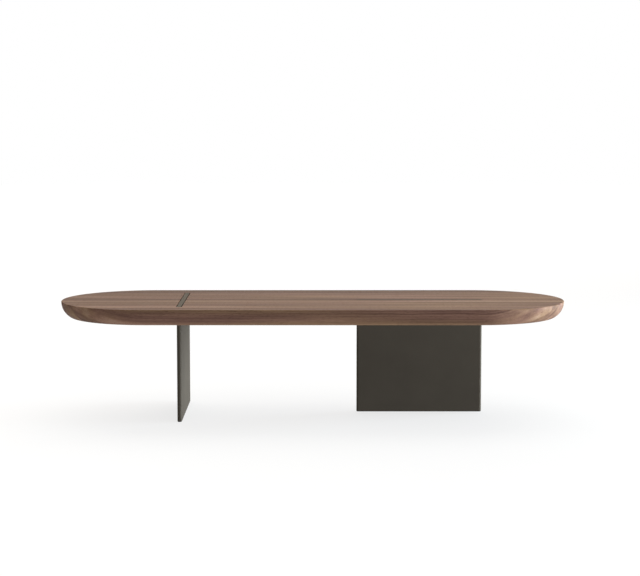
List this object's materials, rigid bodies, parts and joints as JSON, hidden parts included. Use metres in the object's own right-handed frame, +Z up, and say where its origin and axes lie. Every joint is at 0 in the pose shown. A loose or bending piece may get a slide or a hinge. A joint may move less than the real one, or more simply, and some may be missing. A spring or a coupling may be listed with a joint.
{
  "type": "coffee table",
  "caption": "Low oblong coffee table: a thick walnut top with a round under-edge, carried on steel blades set at right angles that pass through slots and end flush with its upper face.",
  "frame": {"origin": "on the floor, under the middle of the top", "axes": "+X along the table towards the blade that runs lengthwise, +Y to the rear, +Z up"},
  "size_m": [1.6, 0.57, 0.36],
  "materials": {
    "walnut": "oiled walnut, satin, straight grain along the table",
    "blade_paint": "satin dark bronze-grey powder coat on steel plate",
    "strip_nylon": "black nylon"
  },
  "bodies": {
    "root": {"top_board_front": "walnut", "top_board_front_middle_end": "walnut", "top_board_front_middle_long": "walnut", "top_board_centre_end": "walnut", "top_board_centre_long": "walnut", "top_board_rear_middle_end": "walnut", "top_board_rear_middle_long": "walnut", "top_board_rear": "walnut", "blade_across": "blade_paint", "mounting_plate_across": "blade_paint", "floor_strip_across": "strip_nylon", "blade_along": "blade_paint", "mounting_plate_along": "blade_paint", "floor_strip_along": "strip_nylon"}
  },
  "joints": []
}
